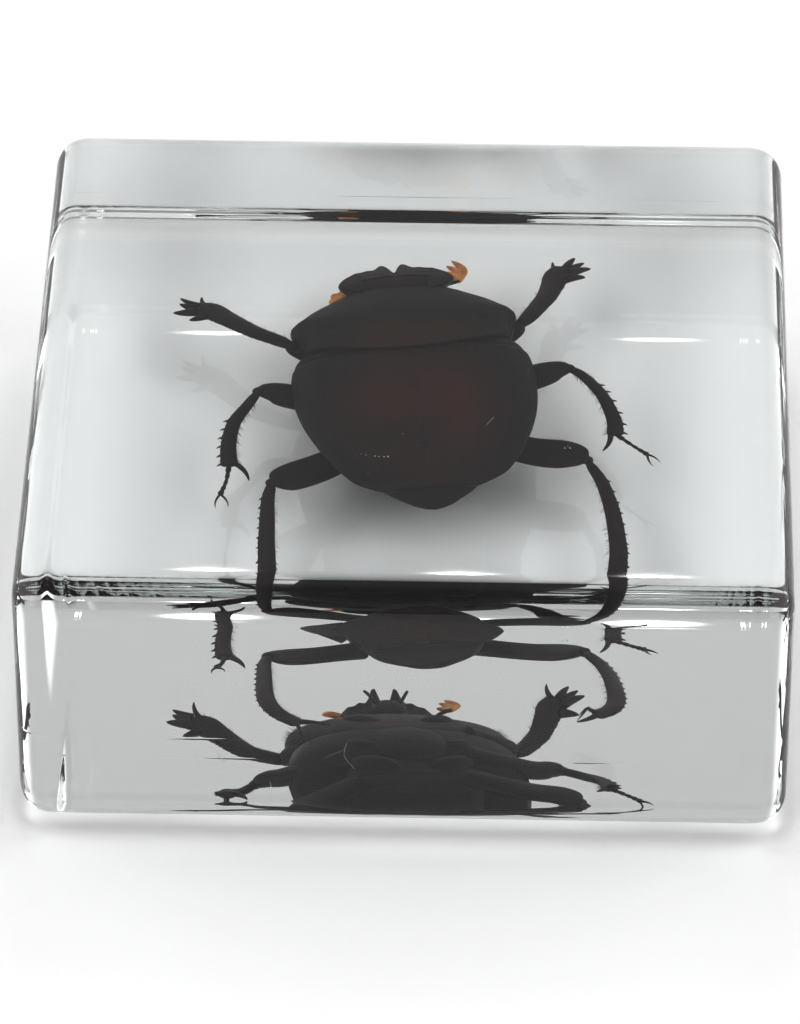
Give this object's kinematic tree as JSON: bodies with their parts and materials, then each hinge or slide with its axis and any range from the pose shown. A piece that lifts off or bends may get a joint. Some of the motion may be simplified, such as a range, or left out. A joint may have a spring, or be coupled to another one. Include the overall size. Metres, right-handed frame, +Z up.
{
  "type": "beetle in resin block",
  "caption": "Clear rounded resin block with a black dung beetle sealed inside, legs and antennae spread, as a desk specimen or paperweight.",
  "frame": {"origin": "middle of the block's base", "axes": "+Z up through the thickness, -Y out of the long front face, with the beetle's head towards +Y, +X to its right"},
  "size_m": [0.04, 0.04, 0.016],
  "materials": {
    "beetle_shell": "black to dark red-brown chitin, dull with a low sheen",
    "clear_resin": "clear polished casting resin with a faint cool cast"
  },
  "bodies": {
    "root": {"dung_beetle": "beetle_shell", "resin_block_lower": "clear_resin", "resin_block_upper": "clear_resin"}
  },
  "joints": []
}
